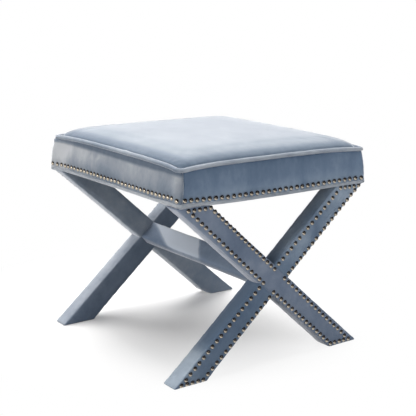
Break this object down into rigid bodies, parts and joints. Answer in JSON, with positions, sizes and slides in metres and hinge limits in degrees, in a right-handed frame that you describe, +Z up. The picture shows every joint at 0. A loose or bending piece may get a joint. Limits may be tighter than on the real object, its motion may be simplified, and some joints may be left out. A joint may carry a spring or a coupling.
{
  "type": "bench ottoman",
  "caption": "Square padded ottoman in velvet, with a crowned welted top, nail-trimmed side bands, and crossed padded legs joined by a padded stretcher.",
  "frame": {"origin": "on the floor under the middle of the seat", "axes": "+Z up, X along the two crossed-leg frames, Y from the front frame to the back one"},
  "size_m": [0.4864, 0.4886, 0.457],
  "materials": {
    "velvet": "short-pile velvet with a soft sheen",
    "cord": "twisted cotton cord",
    "foam": "open-cell upholstery foam",
    "wadding": "soft polyester wadding",
    "plywood": "bare plywood",
    "softwood": "planed and bare",
    "hardwood": "planed and bare",
    "dowel_wood": "smooth and bare",
    "dust_cloth": "thin non-woven cloth",
    "nail_metal": "polished pale nickel",
    "screw_metal": "yellow zinc plating",
    "steel": "zinc plating",
    "glide_plastic": "moulded, matt"
  },
  "bodies": {
    "root": {"top_cover": "velvet", "top_welt": "velvet", "welt_cord": "cord", "band_front": "velvet", "band_back": "velvet", "band_left": "velvet", "band_right": "velvet", "edge_roll": "velvet", "seat_foam": "foam", "side_wadding": "wadding", "seat_deck": "plywood", "rail_front": "softwood", "rail_back": "softwood", "rail_left": "softwood", "rail_right": "softwood", "corner_blocks": "softwood", "deck_screws": "screw_metal", "block_screws": "screw_metal", "dust_cover": "dust_cloth", "leg_studs": "steel", "stud_inserts": "steel", "front_leg_main": "hardwood", "front_leg_cross": "hardwood", "front_main_cover": "velvet", "front_cross_cover_upper": "velvet", "front_cross_cover_lower": "velvet", "front_main_nails": "nail_metal", "front_cross_nails": "nail_metal", "front_glides": "glide_plastic", "back_leg_main": "hardwood", "back_leg_cross": "hardwood", "back_main_cover": "velvet", "back_cross_cover_upper": "velvet", "back_cross_cover_lower": "velvet", "back_main_nails": "nail_metal", "back_cross_nails": "nail_metal", "back_glides": "glide_plastic", "stretcher_board": "hardwood", "stretcher_cover": "velvet", "stretcher_bolts": "steel", "stretcher_washers": "steel", "barrel_nuts": "steel", "stretcher_dowels": "dowel_wood", "band_nails_front": "nail_metal", "band_nails_back": "nail_metal", "band_nails_left": "nail_metal", "band_nails_right": "nail_metal"}
  },
  "joints": []
}
